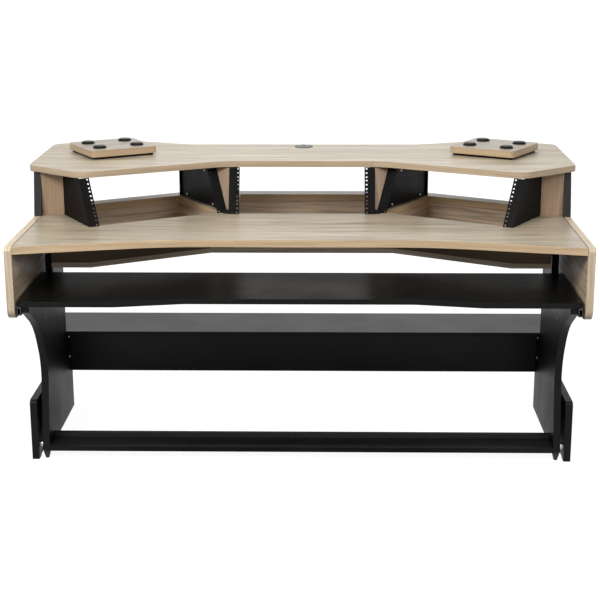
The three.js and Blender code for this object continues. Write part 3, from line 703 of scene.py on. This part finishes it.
# The dish's look is a painted reflection.
DISH_REFLECTION_REACH = 0.58  # the share of the radius within which the dish's look shows
DISH_DEPTHS = (0.9 * MM, 1.3 * MM)  # at the foot of its wall and in its middle


def bend_plates():
    for side, _ in SIDES:
        for node in (f"rack_plate_centre_{side}", f"rack_plate_{side}_inner", f"rack_plate_{side}_outer"):
            shape = cleaned(node)
            bends = [
                e
                for e in sharp_edges(shape, math.radians(60))
                if e.calc_length() > BEND_LENGTH and min(f.calc_area() for f in e.link_faces) > BEND_FACE
            ]
            soften(shape, bends, 1.6 * MM, 4)
            rims = [e for e in sharp_edges(shape, math.radians(50)) if e.calc_length() > RIM_LENGTH]
            soften(shape, rims, 0.3 * MM, 1)
            dress(shape, node, "bent", "powder_coat")


def mould(node, look, edge, rounding, steps):
    shape = cleaned(node)
    soften(shape, sharp_edges(shape, edge), rounding * MM, steps)
    dress(shape, node, "moulded", look)


def mould_disc(node):
    low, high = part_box(node)
    radius = (high.x - low.x) / 2
    height = high.z - low.z
    profile = [(0, 0), (radius - DISC_FOOT, 0), (radius, DISC_FOOT)]
    profile += [(radius * across, height * up) for across, up in DISC_PROFILE]
    profile += [(radius * DISH_FLOOR, height - DISH_DEPTHS[0]), (0, height - DISH_DEPTHS[1])]
    shape = turned_shape(profile, DISC_STEPS)
    # The dish's up-facing faces take a painted reflection.
    for face in shape.faces:
        inside = face.calc_center_median().xy.length < DISH_REFLECTION_REACH * radius
        face.material_index = 1 if inside and face.normal.z > 0.5 else 0
    shape.transform(Matrix.Translation(((low.x + high.x) / 2, (low.y + high.y) / 2, low.z)))
    dress(shape, node, "moulded", "black_rubber", "rubber_dish_painted_reflection")


def plate_node(node, look):
    """Gives a node that is shown as it is its finish."""
    nodes[node].data.materials.clear()
    nodes[node].data.materials.append(finishes[look])


def make_small_parts():
    for side, _ in SIDES:
        for corner in DISC_CORNERS:
            mould_disc(f"pad_disc_{side}_{corner}")
        mould("pad_base_" + side, "black_rubber", MOULDED_EDGE, 1.2, 3)
        mould("glide_" + side, "moulded_black", GLIDE_EDGE, 0.6, 2)
        for end in ("front", "rear"):
            plate_node(f"foot_spacer_{side}_{end}", "bright_zinc")
        for part in ("outer", "middle", "inner"):
            # The slides' dark zinc is painted shade.
            plate_node(f"slide_{part}_{side}", "slide_zinc_painted_shade")
    mould("grommet_ring", "moulded_black", MOULDED_EDGE, 0.35, 2)
    mould("grommet_cap", "moulded_grey", MOULDED_EDGE, 0.35, 2)


# ---------------------------------------------------------------- screws, caps and blocks

# A pan head's profile in shares of its radius and height; its last ring but two is the rim of the recess
SCREW_PROFILE = (
    (0, 0), (1, 0), (1, 0.25), (0.94, 0.5), (0.78, 0.76), (0.5, 0.94), (0.42, 0.96), (0.1, 0.35), (0, 0.35),
)
SCREW_STEPS = 24
RECESS_RIM = (0.3, 0.45)  # the shares of the radius between which that ring lies
RECESS_PULL = 0.45
# The screws' radius and height
PLATE_SCREW = (4.8 * MM, 2.4 * MM)
PANEL_SCREW = (5.5 * MM, 2.6 * MM)
# Where a rack plate's screws are, in millimetres back from its bay's front and up from the desktop
PLATE_SPOTS = ((343, 9.6), (116, 9.8), (182, 126.6))
# Where the modesty panel's screws and the cover cap are on a leg's inner face, as Y and Z
PANEL_SPOTS = ((0.105, 0.318), (0.105, 0.241))
CAP_SPOT = (-0.315, 0.508)
CAP_PROFILE = ((0, 0), (7.5 * MM, 0), (7.5 * MM, 0.6 * MM), (6.7 * MM, 1.2 * MM), (0, 1.4 * MM))
CAP_STEPS = 28
# The plan of the block at a divider's foot, in millimetres from the centre bay's plate, and its height and lean
BLOCK_PLAN = ((0.3, 3), (20, 7), (20, 19), (0.3, 27))
BLOCK_HEIGHT = 11 * MM
BLOCK_LEAN = 3 * MM


def screw_shape(radius, height):
    """A pan head with a cross recess, its underside at the origin and its axis on Z."""
    shape = turned_shape([(radius * across, height * up) for across, up in SCREW_PROFILE], SCREW_STEPS)
    # Every other spoke of the recess is pulled in, which leaves a cross.
    for vert in shape.verts:
        share = vert.co.xy.length / radius
        if RECESS_RIM[0] < share < RECESS_RIM[1]:
            turn = math.atan2(vert.co.y, vert.co.x)
            if abs(math.sin(2 * turn)) > 0.6:
                vert.co.x *= RECESS_PULL
                vert.co.y *= RECESS_PULL
    return shape


def fit_screws(name, spots, normal, size):
    for number, spot in enumerate(spots, 1):
        shape = screw_shape(*size)
        stand_on(shape, spot, normal)
        piece_from(shape, f"{name}_{number}", ("bright_zinc",), "frame", "zinc")


def in_bay(hand, across, back, height):
    """A place given in a side bay's own directions."""
    x = BAY_MIDDLE.x + across * math.cos(BAY_YAW) + back * math.sin(BAY_YAW)
    y = BAY_MIDDLE.y - across * math.sin(BAY_YAW) + back * math.cos(BAY_YAW)
    return Vector((hand * x, y, height))


def fit_corner_foot(side, hand, desk_top):
    """The dark block that closes the foot of a divider between the two rack plates beside it."""
    low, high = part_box("rack_plate_centre_right")
    plan = [(hand * (high.x + x * MM), low.y + y * MM) for x, y in BLOCK_PLAN]
    shape = prism(
        [(x, y, desk_top) for x, y in plan], [(x, y + BLOCK_LEAN, desk_top + BLOCK_HEIGHT) for x, y in plan]
    )
    soften(shape, sharp_edges(shape, BOARD_EDGE), 0.8 * MM, 2)
    piece_from(shape, "divider_foot_" + side, ("powder_coat",), "frame", "powder_coat")


def fit_fixings():
    desk_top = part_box("desktop")[1].z
    leg_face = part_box("leg_right")[0].x
    for side, hand in SIDES:
        plate_spots = [in_bay(hand, -PLATE_FACE, back * MM, desk_top + rise * MM) for back, rise in PLATE_SPOTS]
        away = (hand * math.cos(BAY_YAW), -math.sin(BAY_YAW), 0)
        fit_screws(f"rack_plate_screw_{side}", plate_spots, away, PLATE_SCREW)
        inward = (-hand, 0, 0)
        panel_spots = [Vector((hand * leg_face, y, height)) for y, height in PANEL_SPOTS]
        fit_screws(f"modesty_screw_{side}", panel_spots, inward, PANEL_SCREW)
        cap = turned_shape(CAP_PROFILE, CAP_STEPS)
        stand_on(cap, Vector((hand * leg_face, *CAP_SPOT)), inward)
        piece_from(cap, "leg_cap_" + side, ("moulded_black",), "frame", "black_plastic")
        fit_corner_foot(side, hand, desk_top)


stand_camera()
paint_world()
hang_soft_boxes()
lay_floor()
cut_boards()
bend_plates()
make_small_parts()
fit_fixings()
fit_front_boards()

bpy.context.scene.view_settings.view_transform = "Standard"
